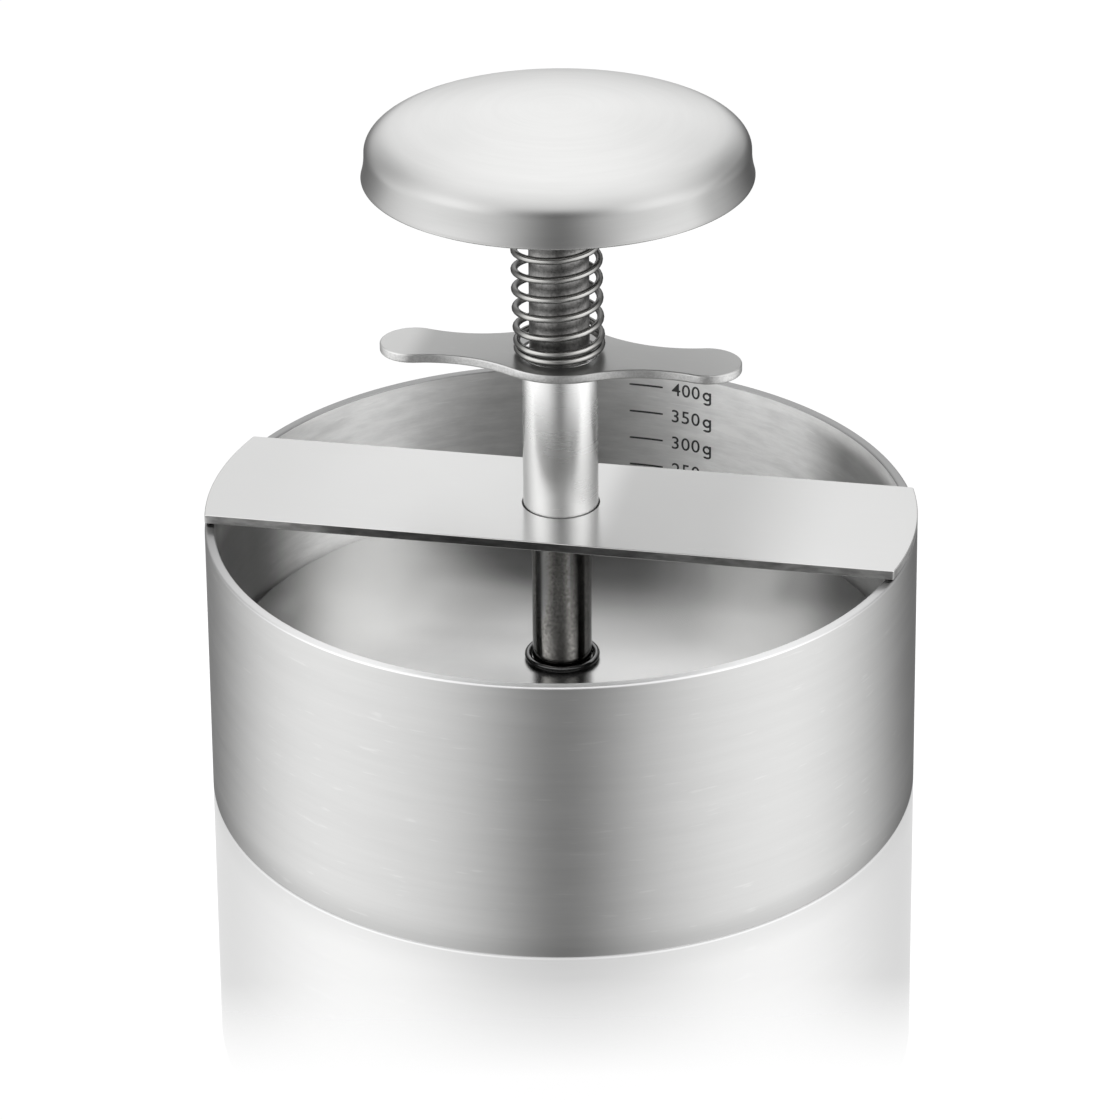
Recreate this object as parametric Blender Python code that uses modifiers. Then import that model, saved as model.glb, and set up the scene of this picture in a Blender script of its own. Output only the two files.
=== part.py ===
"""Patty press: a stainless mould ring, a bridge unit with a guide tube and a
finger bar that lies on the ring's rim, and a sprung plunger with a palm knob
at the top and a press disc inside the ring.

Units are metres, +Z is up.  The origin is on the board, at the centre of the
ring's bottom edge; the plunger's axis is the Z axis and the bridge lies along
X.  The pieces are shown with the spring relaxed.
"""

import math

import bmesh
import bpy
from mathutils import Vector

MM = 0.001

# ---------------------------------------------------------------- dimensions
RING_R = 57.5 * MM            # outer radius of the mould ring
RING_WALL = 1.65 * MM         # sheet thickness of the ring
RING_H = 45.0 * MM            # height of the ring
RING_EDGE = 0.3 * MM          # broken edges of the rim

BRIDGE_W = 29.7 * MM          # width of the bridge plate
BRIDGE_R = 57.5 * MM          # radius of its ends, flush with the ring
BRIDGE_T = 1.5 * MM           # thickness of the bridge plate
BRIDGE_GAP = 0.3 * MM         # gap between the rim and the bridge plate
BRIDGE_Z = RING_H + BRIDGE_GAP

TUBE_R = 6.1 * MM             # guide tube, outer radius
TUBE_BORE = 5.1 * MM          # guide tube, inner radius
TUBE_HOLE = 6.4 * MM          # hole for the tube in the bridge and in the bar

BAR_TOP = 73.0 * MM           # top face of the finger bar
BAR_T = 1.5 * MM              # thickness of the finger bar
BAR_HALF = 29.45 * MM          # half of its length
BAR_LOBE_R = 5.5 * MM         # radius of its rounded ends
BAR_NECK = 4.65 * MM          # half width where it is narrowest
BAR_MID = 9.4 * MM            # half width in the middle
BAR_MID_R = 12.4 * MM         # radius of the middle bulge

ROD_R = 4.85 * MM             # plunger rod
ROD_FOOT = 19.3 * MM
ROD_TOP = 105.8 * MM
ROD_CHAMFER = 0.4 * MM

WASHER_BORE = 5.2 * MM
TOP_WASHER_R = 7.9 * MM
TOP_WASHER_Z = (105.1 * MM, 105.7 * MM)

SPRING_R = 6.82 * MM          # radius of the coil's centre line
WIRE_R = 0.57 * MM            # radius of the wire
SPRING_Z0 = 73.87 * MM        # centre line at the first coil
SPRING_Z1 = 104.23 * MM       # centre line at the last coil
SPRING_CLOSED = 1.0           # closed turns at each end
SPRING_TURNS = 11.1           # all turns
SPRING_CLOSED_PITCH = 1.22 * MM

KNOB_RIM_Z = 103.1 * MM       # lower edge of the knob
KNOB_RIM_R = 31.2 * MM        # radius at the lower edge
KNOB_WALL_R = 30.65 * MM      # radius at the top of the side wall
KNOB_WALL_Z = 107.7 * MM      # height where the shoulder starts
KNOB_SHOULDER = (7.0 * MM, 4.0 * MM)   # half axes of the shoulder's ellipse
KNOB_SHOULDER_END = math.radians(66)   # where the shoulder meets the crown
KNOB_T = 0.9 * MM             # sheet thickness of the knob

HUB_R = 8.5 * MM
HUB_Z = (106.0 * MM, 113.1 * MM)
HUB_BORE = 3.2 * MM
HUB_BORE_TOP = 112.0 * MM
STUD_R = 2.9 * MM
STUD_Z = (96.0 * MM, 111.6 * MM)
ROD_BORE_TOP = 95.6 * MM      # floor of the tapped hole in the rod's top

DISC_R = 55.45 * MM
DISC_Z = (17.0 * MM, 19.0 * MM)
DISC_ROUND = 0.8 * MM         # rounding of the disc's upper edge
DISC_HOLE = 2.85 * MM
DISC_SINK = 4.95 * MM         # countersink radius at the underside
SCREW_R = 2.5 * MM
SCREW_HEAD_R = 4.6 * MM
SCREW_TOP = 31.0 * MM
SCREW_FACE = 17.1 * MM        # face of the head, just above the disc's face
SCREW_SOCKET_R = 1.73 * MM    # across the corners of the hexagon socket
SCREW_SOCKET_DEEP = 1.1 * MM
ROD_BORE_FOOT_R = 2.8 * MM
ROD_BORE_FOOT = 32.0 * MM     # roof of the tapped hole in the rod's foot

O_RING_R = 5.62 * MM          # radius of the O-ring's centre line
O_RING_SECTION = 0.58 * MM    # radius of its section
O_RING_Z = DISC_Z[1] + 0.1 * MM + O_RING_SECTION

SEG_BIG = 96                  # facets of the large turned pieces
SEG_KNOB = 60
SEG_SMALL = 48
SEG_WASHER = 36
SEG_TINY = 24

# --------------------------------------------------------------- a clean file
for old in list(bpy.data.objects):
    bpy.data.objects.remove(old, do_unlink=True)

PARTS = bpy.data.collections.new("patty_press")
CUTTERS = bpy.data.collections.new("patty_press_cutters")
bpy.context.scene.collection.children.link(PARTS)
bpy.context.scene.collection.children.link(CUTTERS)


def material(name, colour, rough, metallic):
    mat = bpy.data.materials.new(name)
    mat.use_nodes = True
    node = mat.node_tree.nodes["Principled BSDF"]
    node.inputs["Base Color"].default_value = (*colour, 1.0)
    node.inputs["Roughness"].default_value = rough
    node.inputs["Metallic"].default_value = metallic
    return mat


STEEL_RING = material("brushed_steel_ring", (0.62, 0.62, 0.61), 0.32, 1.0)
STEEL_BRIDGE = material("satin_steel_bridge", (0.72, 0.72, 0.71), 0.30, 1.0)
STEEL_TUBE = material("satin_steel_tube", (0.70, 0.70, 0.69), 0.26, 1.0)
STEEL_BAR = material("satin_steel_bar", (0.62, 0.62, 0.60), 0.34, 1.0)
STEEL_KNOB = material("satin_steel_knob", (0.74, 0.74, 0.73), 0.33, 1.0)
STEEL_ROD = material("polished_steel_rod", (0.45, 0.44, 0.43), 0.22, 1.0)
STEEL_DISC = material("satin_steel_disc", (0.64, 0.64, 0.63), 0.34, 1.0)
STEEL_SPRING = material("spring_wire", (0.60, 0.59, 0.57), 0.22, 1.0)
STEEL_SCREW = material("screw_steel", (0.55, 0.55, 0.54), 0.30, 1.0)
BLACK_RUBBER = material("black_rubber", (0.02, 0.02, 0.02), 0.35, 0.0)


def put(obj, mat, collection=PARTS):
    for other in list(obj.users_collection):
        other.objects.unlink(obj)
    collection.objects.link(obj)
    obj.data.materials.clear()
    obj.data.materials.append(mat)
    return obj


# ------------------------------------------------------------ turned profiles
def arc(cx, cz, rx, rz, start, end, count):
    """Points of an elliptical arc in the profile plane, angles in degrees."""
    out = []
    for i in range(count + 1):
        a = math.radians(start + (end - start) * i / count)
        out.append((cx + rx * math.cos(a), cz + rz * math.sin(a)))
    return out


def turned(name, points, steps, mat, closed, collection=PARTS):
    """A turned piece: a profile in the XZ plane, spun about Z."""
    mesh = bpy.data.meshes.new(name)
    bm = bmesh.new()
    verts = [bm.verts.new((x, 0.0, z)) for x, z in points]
    for a, b in zip(verts, verts[1:]):
        bm.edges.new((a, b))
    if closed:
        bm.edges.new((verts[-1], verts[0]))
    bm.to_mesh(mesh)
    bm.free()
    obj = bpy.data.objects.new(name, mesh)
    put(obj, mat, collection)
    screw = obj.modifiers.new("turn", "SCREW")
    screw.axis = "Z"
    screw.angle = math.tau
    screw.steps = steps
    screw.render_steps = steps
    screw.use_merge_vertices = True
    screw.merge_threshold = 0.00001
    screw.use_smooth_shade = True
    return obj


def sleeve_profile(r_in, r_out, z0, z1, edge):
    """A ring of rectangular section with small 45 degree edges."""
    return [
        (r_out - edge, z1), (r_out, z1 - edge),
        (r_out, z0 + edge), (r_out - edge, z0),
        (r_in + edge, z0), (r_in, z0 + edge),
        (r_in, z1 - edge), (r_in + edge, z1),
    ]


# ------------------------------------------------------------------ mould ring
ring_in = RING_R - RING_WALL
ring_profile = (
    arc(RING_R - RING_EDGE, RING_H - RING_EDGE, RING_EDGE, RING_EDGE, 90, 0, 2)
    + arc(RING_R - RING_EDGE, RING_EDGE, RING_EDGE, RING_EDGE, 0, -90, 2)
    + arc(ring_in + RING_EDGE, RING_EDGE, RING_EDGE, RING_EDGE, 270, 180, 2)
    + arc(ring_in + RING_EDGE, RING_H - RING_EDGE, RING_EDGE, RING_EDGE, 180, 90, 2)
)
turned("mould_ring", ring_profile, SEG_BIG, STEEL_RING, True)


# ------------------------------------------------------- flat pieces with holes
def circle_points(radius, count):
    return [
        (radius * math.cos(math.tau * i / count), radius * math.sin(math.tau * i / count))
        for i in range(count)
    ]


def flat_piece(name, outlines, z0, thick, mat):
    """A flat outline with holes, as a filled 2D curve with thickness."""
    curve = bpy.data.curves.new(name, "CURVE")
    curve.dimensions = "2D"
    curve.fill_mode = "BOTH"
    curve.extrude = thick / 2
    for outline in outlines:
        spline = curve.splines.new("POLY")
        spline.points.add(len(outline) - 1)
        for point, (x, y) in zip(spline.points, outline):
            point.co = (x, y, 0.0, 1.0)
        spline.use_cyclic_u = True
    source = bpy.data.objects.new(name + "_outline", curve)
    PARTS.objects.link(source)
    source.location = (0.0, 0.0, z0 + thick / 2)
    bpy.context.view_layer.update()
    graph = bpy.context.evaluated_depsgraph_get()
    mesh = bpy.data.meshes.new_from_object(source.evaluated_get(graph))
    mesh.name = name
    bm = bmesh.new()
    bm.from_mesh(mesh)
    bmesh.ops.remove_doubles(bm, verts=bm.verts, dist=0.000005)
    bmesh.ops.recalc_face_normals(bm, faces=bm.faces)
    bm.to_mesh(mesh)
    bm.free()
    obj = bpy.data.objects.new(name, mesh)
    obj.matrix_world = source.matrix_world.copy()
    bpy.data.objects.remove(source, do_unlink=True)
    put(obj, mat)
    return obj


# The bridge is a straight strip whose ends follow the ring's outside.
half_w = BRIDGE_W / 2
end_angle = math.asin(half_w / BRIDGE_R)
END_STEPS = 14
right_end = [
    (
        BRIDGE_R * math.cos(-end_angle + 2 * end_angle * i / END_STEPS),
        BRIDGE_R * math.sin(-end_angle + 2 * end_angle * i / END_STEPS),
    )
    for i in range(END_STEPS + 1)
]
bridge_outline = right_end + [(-x, -y) for x, y in right_end]
flat_piece(
    "bridge_plate",
    [bridge_outline, circle_points(TUBE_HOLE, SEG_SMALL)],
    BRIDGE_Z, BRIDGE_T, STEEL_BRIDGE,
)


def waist_radius():
    """Radius and place of the hollow side of the finger bar: one arc that is
    tangent to the middle bulge and to the rounded end, and that leaves the
    wanted width at the neck.  Found by halving an interval."""
    mid_y = BAR_MID - BAR_MID_R
    lobe_x = BAR_HALF - BAR_LOBE_R

    def miss(radius):
        y = BAR_NECK + radius
        x = math.sqrt((BAR_MID_R + radius) ** 2 - (y - mid_y) ** 2)
        return (x - lobe_x) ** 2 + y ** 2 - (BAR_LOBE_R + radius) ** 2, x, y

    low, high = 0.002, 0.2
    for _ in range(60):
        middle = (low + high) / 2
        if miss(middle)[0] > 0:
            low = middle
        else:
            high = middle
    value, x, y = miss(low)
    return low, x, y, mid_y, lobe_x


def bar_outline():
    radius, wx, wy, mid_y, lobe_x = waist_radius()
    quarter = []
    # the rounded end, from the tip to the waist arc
    stop = math.atan2(wy, wx - lobe_x)
    for i in range(9):
        a = stop * i / 8
        quarter.append((lobe_x + BAR_LOBE_R * math.cos(a), BAR_LOBE_R * math.sin(a)))
    # the waist, seen from its own centre outside the bar
    a0 = math.atan2(-wy, lobe_x - wx)
    a1 = math.atan2(mid_y - wy, -wx)
    if a1 > 0:
        a1 -= math.tau
    for i in range(1, 11):
        a = a0 + (a1 - a0) * i / 10
        quarter.append((wx + radius * math.cos(a), wy + radius * math.sin(a)))
    # the middle bulge up to the centre line
    a2 = math.atan2(wy - mid_y, wx)
    for i in range(1, 6):
        a = a2 + (math.pi / 2 - a2) * i / 5
        quarter.append((BAR_MID_R * math.cos(a), mid_y + BAR_MID_R * math.sin(a)))
    top = quarter + [(-x, y) for x, y in reversed(quarter[:-1])]
    return top + [(-x, -y) for x, y in top[1:-1]]


flat_piece(
    "finger_bar",
    [bar_outline(), circle_points(TUBE_HOLE, SEG_SMALL)],
    BAR_TOP - BAR_T, BAR_T, STEEL_BAR,
)

# ------------------------------------------------------------------ guide tube
turned(
    "guide_tube",
    sleeve_profile(TUBE_BORE, TUBE_R, BRIDGE_Z + 0.1 * MM, BAR_TOP - 0.1 * MM, 0.2 * MM),
    SEG_SMALL, STEEL_TUBE, True,
)

# ---------------------------------------------------------------------- washer
turned(
    "spring_top_washer",
    sleeve_profile(WASHER_BORE, TOP_WASHER_R, *TOP_WASHER_Z, 0.12 * MM),
    SEG_WASHER, STEEL_SCREW, True,
)


# ---------------------------------------------------------------------- spring
def spring_height(turn):
    """Height of the wire's centre line after a number of turns.  The end
    turns lie almost closed, and the pitch grows smoothly between them."""
    blend = 1.0
    active = SPRING_TURNS - 2 * SPRING_CLOSED - blend
    rise = SPRING_Z1 - SPRING_Z0
    open_pitch = (rise - SPRING_CLOSED_PITCH * (2 * SPRING_CLOSED + blend)) / active

    def climbed(t):
        if t <= SPRING_CLOSED:
            return t * SPRING_CLOSED_PITCH
        base = SPRING_CLOSED * SPRING_CLOSED_PITCH
        u = min(t - SPRING_CLOSED, blend)
        base += u * SPRING_CLOSED_PITCH
        base += (open_pitch - SPRING_CLOSED_PITCH) * u * u / (2 * blend)
        return base + max(0.0, t - SPRING_CLOSED - blend) * open_pitch

    half = SPRING_TURNS / 2
    if turn <= half:
        return SPRING_Z0 + climbed(turn)
    return SPRING_Z1 - climbed(SPRING_TURNS - turn)


wire = bpy.data.curves.new("spring", "CURVE")
wire.dimensions = "3D"
wire.bevel_depth = WIRE_R
wire.bevel_resolution = 2
wire.use_fill_caps = True
PER_TURN = 14
count = int(SPRING_TURNS * PER_TURN)
line = wire.splines.new("POLY")
line.points.add(count)
for i in range(count + 1):
    turn = SPRING_TURNS * i / count
    a = math.tau * turn + math.radians(190)
    line.points[i].co = (SPRING_R * math.cos(a), SPRING_R * math.sin(a), spring_height(turn), 1.0)
spring_curve = bpy.data.objects.new("spring_wire_path", wire)
PARTS.objects.link(spring_curve)
bpy.context.view_layer.update()
spring_mesh = bpy.data.meshes.new_from_object(
    spring_curve.evaluated_get(bpy.context.evaluated_depsgraph_get()))
spring_mesh.name = "spring"
bm = bmesh.new()
bm.from_mesh(spring_mesh)
bmesh.ops.remove_doubles(bm, verts=bm.verts, dist=0.000005)
bmesh.ops.recalc_face_normals(bm, faces=bm.faces)
bm.to_mesh(spring_mesh)
bm.free()
spring_mesh.shade_smooth()
spring = bpy.data.objects.new("spring", spring_mesh)
spring.matrix_world = spring_curve.matrix_world.copy()
bpy.data.objects.remove(spring_curve, do_unlink=True)
put(spring, STEEL_SPRING)

# ----------------------------------------------------------------- plunger rod
turned(
    "plunger_rod",
    [
        (HUB_BORE, ROD_TOP),
        (ROD_R - ROD_CHAMFER, ROD_TOP),
        (ROD_R, ROD_TOP - ROD_CHAMFER),
        (ROD_R, ROD_FOOT + ROD_CHAMFER / 2),
        (ROD_R - ROD_CHAMFER / 2, ROD_FOOT),
        (ROD_BORE_FOOT_R, ROD_FOOT),
        (ROD_BORE_FOOT_R, ROD_BORE_FOOT),
        (0.0, ROD_BORE_FOOT + 1.4 * MM),
    ],
    SEG_SMALL, STEEL_ROD, False,
)
# The profile above is the outside and the foot's hole; the top's hole closes
# the same surface on the axis.
rod = bpy.data.objects["plunger_rod"]
bm = bmesh.new()
bm.from_mesh(rod.data)
bm.verts.ensure_lookup_table()
first = bm.verts[0]
floor_edge = bm.verts.new((HUB_BORE, 0.0, ROD_BORE_TOP))
floor_axis = bm.verts.new((0.0, 0.0, ROD_BORE_TOP - 1.5 * MM))
bm.edges.new((floor_edge, first))
bm.edges.new((floor_axis, floor_edge))
bm.to_mesh(rod.data)
bm.free()


# ------------------------------------------------------------------------ knob
def knob_outside():
    """Outer profile from the crown on the axis down to the rim."""
    a, b = KNOB_SHOULDER
    cx = KNOB_WALL_R - a
    cz = KNOB_WALL_Z
    t = KNOB_SHOULDER_END
    r1, z1 = cx + a * math.cos(t), cz + b * math.sin(t)
    slope = b * math.cos(t) / (a * math.sin(t))
    crown = r1 * math.sqrt(1 + slope * slope) / slope
    top = z1 + crown - math.sqrt(crown * crown - r1 * r1)
    out = []
    for i in range(4):
        r = r1 * i / 4
        out.append((r, top - (crown - math.sqrt(crown * crown - r * r))))
    out += arc(cx, cz, a, b, math.degrees(t), 0, 5)
    wall = KNOB_WALL_Z - KNOB_RIM_Z
    for i in range(1, 4):
        u = i / 4
        out.append((
            KNOB_WALL_R + (KNOB_RIM_R - KNOB_WALL_R) * u ** 2.2,
            KNOB_WALL_Z - wall * u,
        ))
    return out, top


outside, KNOB_TOP = knob_outside()
inside = []
for i, (x, z) in enumerate(outside):
    before = Vector(outside[max(i - 1, 0)])
    after = Vector(outside[min(i + 1, len(outside) - 1)])
    along = (after - before).normalized()
    normal = Vector((along.y, -along.x))       # points into the material
    inside.append((max(x + normal.x * KNOB_T, 0.0) if i else 0.0, z + normal.y * KNOB_T))
rim = arc(KNOB_RIM_R - 0.45 * MM, KNOB_RIM_Z + 0.45 * MM, 0.45 * MM, 0.45 * MM, 0, -180, 3)
turned(
    "knob_shell",
    outside + rim + list(reversed(inside)),
    SEG_KNOB, STEEL_KNOB, False,
)

turned(
    "knob_hub",
    [
        (0.0, HUB_Z[1]), (HUB_R - 0.5 * MM, HUB_Z[1]), (HUB_R, HUB_Z[1] - 0.5 * MM),
        (HUB_R, HUB_Z[0] + 0.5 * MM), (HUB_R - 0.5 * MM, HUB_Z[0]),
        (HUB_BORE, HUB_Z[0]), (HUB_BORE, HUB_BORE_TOP), (0.0, HUB_BORE_TOP + 0.6 * MM),
    ],
    SEG_SMALL, STEEL_SCREW, False,
)
turned(
    "knob_stud",
    [
        (0.0, STUD_Z[1]), (STUD_R - 0.5 * MM, STUD_Z[1]), (STUD_R, STUD_Z[1] - 0.5 * MM),
        (STUD_R, STUD_Z[0] + 0.5 * MM), (STUD_R - 0.5 * MM, STUD_Z[0]), (0.0, STUD_Z[0]),
    ],
    SEG_TINY, STEEL_SCREW, False,
)

# ------------------------------------------------------------------ press disc
disc_profile = (
    arc(DISC_R - DISC_ROUND, DISC_Z[1] - DISC_ROUND, DISC_ROUND, DISC_ROUND, 90, 0, 3)
    + arc(DISC_R - 0.3 * MM, DISC_Z[0] + 0.3 * MM, 0.3 * MM, 0.3 * MM, 0, -90, 2)
    + [(DISC_SINK, DISC_Z[0]), (DISC_HOLE, DISC_Z[1] - 0.3 * MM), (DISC_HOLE, DISC_Z[1])]
)
turned("press_disc", disc_profile, SEG_BIG, STEEL_DISC, True)

bpy.ops.mesh.primitive_torus_add(
    major_segments=36, minor_segments=8,
    major_radius=O_RING_R, minor_radius=O_RING_SECTION, location=(0.0, 0.0, O_RING_Z))
o_ring = bpy.context.active_object
o_ring.name = "foot_o_ring"
o_ring.data.name = "foot_o_ring"
o_ring.data.shade_smooth()
put(o_ring, BLACK_RUBBER)

# ------------------------------------------------------------------ disc screw
screw = turned(
    "disc_screw",
    [
        (0.0, SCREW_TOP), (SCREW_R - 0.4 * MM, SCREW_TOP), (SCREW_R, SCREW_TOP - 0.4 * MM),
        (SCREW_R, DISC_Z[1] - 0.15 * MM), (SCREW_HEAD_R, SCREW_FACE + 0.1 * MM),
        (SCREW_HEAD_R, SCREW_FACE), (0.0, SCREW_FACE),
    ],
    SEG_TINY, STEEL_SCREW, False,
)
bpy.ops.mesh.primitive_cylinder_add(
    vertices=6, radius=SCREW_SOCKET_R, depth=2 * SCREW_SOCKET_DEEP,
    location=(0.0, 0.0, SCREW_FACE))
socket = bpy.context.active_object
socket.name = "screw_socket_cutter"
put(socket, STEEL_SCREW, CUTTERS)
socket.display_type = "WIRE"
socket.hide_render = True
cut = screw.modifiers.new("socket", "BOOLEAN")
cut.operation = "DIFFERENCE"
cut.solver = "EXACT"
cut.object = socket

# -------------------------------------------------- the unit's own coordinates
# Three empties mark what moves: the unit that lifts off the ring, the spring's
# upper end, and the plunger that slides and turns on the Z axis.
def empty(name, z, parent=None):
    mark = bpy.data.objects.new(name, None)
    PARTS.objects.link(mark)
    mark.empty_display_size = 0.01
    mark.location = (0.0, 0.0, z)
    if parent:
        mark.parent = parent
        mark.matrix_parent_inverse = parent.matrix_world.inverted()
    return mark


def attach(names, parent):
    bpy.context.view_layer.update()
    for name in names:
        child = bpy.data.objects[name]
        child.parent = parent
        child.matrix_parent_inverse = parent.matrix_world.inverted()


unit = empty("bridge_unit_axis", BRIDGE_Z)
bpy.context.view_layer.update()
spring_end = empty("spring_axis", SPRING_Z0, unit)
bpy.context.view_layer.update()
plunger = empty("plunger_axis", DISC_Z[0], spring_end)
attach(["bridge_plate", "guide_tube", "finger_bar"], unit)
attach(["spring", "spring_top_washer"], spring_end)
attach(
    ["plunger_rod", "knob_shell", "knob_hub", "knob_stud", "press_disc",
     "disc_screw", "foot_o_ring"], plunger)

for obj in PARTS.objects:
    if obj.type == "MESH" and obj.name != "spring" and not obj.modifiers:
        obj.data.set_sharp_from_angle(angle=math.radians(35))
bpy.context.view_layer.update()
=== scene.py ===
"""Looks of the patty press: fine meshes and brushed-steel materials around the
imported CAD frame, a pale floor, a soft light tent and the camera."""

import math

import bmesh
import bpy
import numpy as np
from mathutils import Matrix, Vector


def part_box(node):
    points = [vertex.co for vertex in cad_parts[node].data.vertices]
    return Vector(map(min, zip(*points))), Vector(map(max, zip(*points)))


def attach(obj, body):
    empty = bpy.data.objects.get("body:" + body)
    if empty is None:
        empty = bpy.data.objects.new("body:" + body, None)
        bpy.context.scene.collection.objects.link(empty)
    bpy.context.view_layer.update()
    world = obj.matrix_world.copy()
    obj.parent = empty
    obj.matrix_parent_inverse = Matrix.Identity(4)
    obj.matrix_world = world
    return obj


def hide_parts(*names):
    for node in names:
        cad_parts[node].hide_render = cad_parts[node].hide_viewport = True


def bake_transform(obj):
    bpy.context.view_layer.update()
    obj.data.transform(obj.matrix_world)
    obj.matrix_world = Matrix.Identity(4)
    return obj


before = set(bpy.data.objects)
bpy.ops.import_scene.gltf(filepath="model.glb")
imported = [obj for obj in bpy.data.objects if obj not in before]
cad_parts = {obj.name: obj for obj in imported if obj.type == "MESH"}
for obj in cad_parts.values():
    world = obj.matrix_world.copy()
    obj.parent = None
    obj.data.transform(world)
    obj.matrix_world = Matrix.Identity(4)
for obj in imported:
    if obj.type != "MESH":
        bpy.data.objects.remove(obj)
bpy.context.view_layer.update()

MM = 0.001
scene = bpy.context.scene


def size_of(node):
    lo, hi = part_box(node)
    return lo, hi


# ------------------------------------------------------------ sizes from the CAD
ring_lo, ring_hi = size_of("mould_ring")
RING_R = (ring_hi.x - ring_lo.x) / 2
RING_H = ring_hi.z
RING_WALL = 1.65 * MM
bridge_lo, bridge_hi = size_of("bridge_plate")
tube_lo, tube_hi = size_of("guide_tube")
TUBE_HOLE = tube_hi.x + 0.16 * MM
bar_lo, bar_hi = size_of("finger_bar")
cap_lo, cap_hi = size_of("spring_top_washer")
rod_lo, rod_hi = size_of("plunger_rod")
knob_lo, knob_hi = size_of("knob_shell")
hub_lo, hub_hi = size_of("knob_hub")
disc_lo, disc_hi = size_of("press_disc")
oring_lo, oring_hi = size_of("foot_o_ring")

# direction of the camera from the object, in plan
CAM_POS = Vector((0.10884, -0.55093, 0.32374))
cam_data = bpy.data.cameras.new("camera")
cam = bpy.data.objects.new("camera", cam_data)
scene.collection.objects.link(cam)
scene.camera = cam
cam.location = CAM_POS


def straight_driver(curve, kind, slope, **target):
    """Drives a value with slope times one property or channel of the camera."""
    curve.driver.type = "SUM"
    var = curve.driver.variables.new()
    var.name = "v"
    var.type = kind
    if kind == "SINGLE_PROP":
        var.targets[0].id_type = "OBJECT"
    var.targets[0].id = cam
    for key, value in target.items():
        setattr(var.targets[0], key, value)
    for m in list(curve.modifiers):
        curve.modifiers.remove(m)
    g = curve.modifiers.new("GENERATOR")
    g.mode = "POLYNOMIAL"
    g.poly_order = 1
    g.coefficients = (0.0, slope)


def heading(t):
    """Unit direction from the object to the camera, in plan: the light tent and
    the floor's sheen go round with the camera."""
    parts = []
    for channel, start in (("LOC_X", CAM_POS.x), ("LOC_Y", CAM_POS.y)):
        node = t.add("ShaderNodeValue")
        node.outputs[0].default_value = start
        straight_driver(node.outputs[0].driver_add("default_value"), "TRANSFORMS", 1.0,
                        transform_type=channel, transform_space="WORLD_SPACE")
        parts.append(node.outputs[0])
    length = t.math("SQRT", t.math("ADD", t.math("MULTIPLY", parts[0], parts[0]),
                                   t.math("MULTIPLY", parts[1], parts[1])))
    length = t.math("MAXIMUM", length, 0.000001)
    return t.math("DIVIDE", parts[0], length), t.math("DIVIDE", parts[1], length)


# ==================================================================== node tools
class Tree:
    """A small helper for writing node trees."""

    def __init__(self, tree):
        self.t = tree

    def add(self, kind, **props):
        node = self.t.nodes.new(kind)
        for key, value in props.items():
            setattr(node, key, value)
        return node

    def link(self, a, b):
        self.t.links.new(a, b)

    def put(self, socket, value):
        if isinstance(value, bpy.types.NodeSocket):
            self.link(value, socket)
        elif isinstance(value, (tuple, list)) and len(value) == 3 and socket.type == "RGBA":
            socket.default_value = (*value, 1.0)
        else:
            socket.default_value = value

    def math(self, op, a, b=None, c=None, clamp=False):
        node = self.add("ShaderNodeMath", operation=op, use_clamp=clamp)
        for i, v in enumerate((a, b, c)):
            if v is not None:
                self.put(node.inputs[i], v)
        return node.outputs[0]

    def vmath(self, op, a, b=None, scale=None):
        node = self.add("ShaderNodeVectorMath", operation=op)
        self.put(node.inputs[0], a)
        if b is not None:
            self.put(node.inputs[1], b)
        if scale is not None:
            self.put(node.inputs["Scale"], scale)
        return node.outputs["Value"] if op in ("DOT_PRODUCT", "LENGTH") else node.outputs["Vector"]

    def span(self, value, a, b, c=0.0, d=1.0, smooth=True):
        node = self.add("ShaderNodeMapRange", clamp=True)
        node.interpolation_type = "SMOOTHSTEP" if smooth else "LINEAR"
        self.put(node.inputs["Value"], value)
        for key, v in (("From Min", a), ("From Max", b), ("To Min", c), ("To Max", d)):
            self.put(node.inputs[key], v)
        return node.outputs["Result"]

    def mix(self, fac, a, b, kind="RGBA"):
        node = self.add("ShaderNodeMix", data_type=kind)
        self.put(node.inputs["Factor"] if kind == "FLOAT" else node.inputs[0], fac)
        if kind == "FLOAT":
            self.put(node.inputs[2], a)
            self.put(node.inputs[3], b)
            return node.outputs[0]
        self.put(node.inputs[6], a)
        self.put(node.inputs[7], b)
        return node.outputs[2]

    def noise(self, vector, scale=1.0, detail=2.0, rough=0.5, dims="3D"):
        node = self.add("ShaderNodeTexNoise", noise_dimensions=dims)
        self.put(node.inputs["Vector"], vector)
        node.inputs["Scale"].default_value = scale
        node.inputs["Detail"].default_value = detail
        node.inputs["Roughness"].default_value = rough
        return node.outputs["Fac"]

    def combine(self, x, y, z):
        node = self.add("ShaderNodeCombineXYZ")
        for i, v in enumerate((x, y, z)):
            self.put(node.inputs[i], v)
        return node.outputs[0]

    def split(self, vector):
        node = self.add("ShaderNodeSeparateXYZ")
        self.put(node.inputs[0], vector)
        return node.outputs


def new_material(name):
    mat = bpy.data.materials.new(name)
    mat.use_nodes = True
    mat.node_tree.nodes.clear()
    t = Tree(mat.node_tree)
    out = t.add("ShaderNodeOutputMaterial")
    bsdf = t.add("ShaderNodeBsdfPrincipled")
    t.link(bsdf.outputs[0], out.inputs["Surface"])
    return mat, t, bsdf


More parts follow.
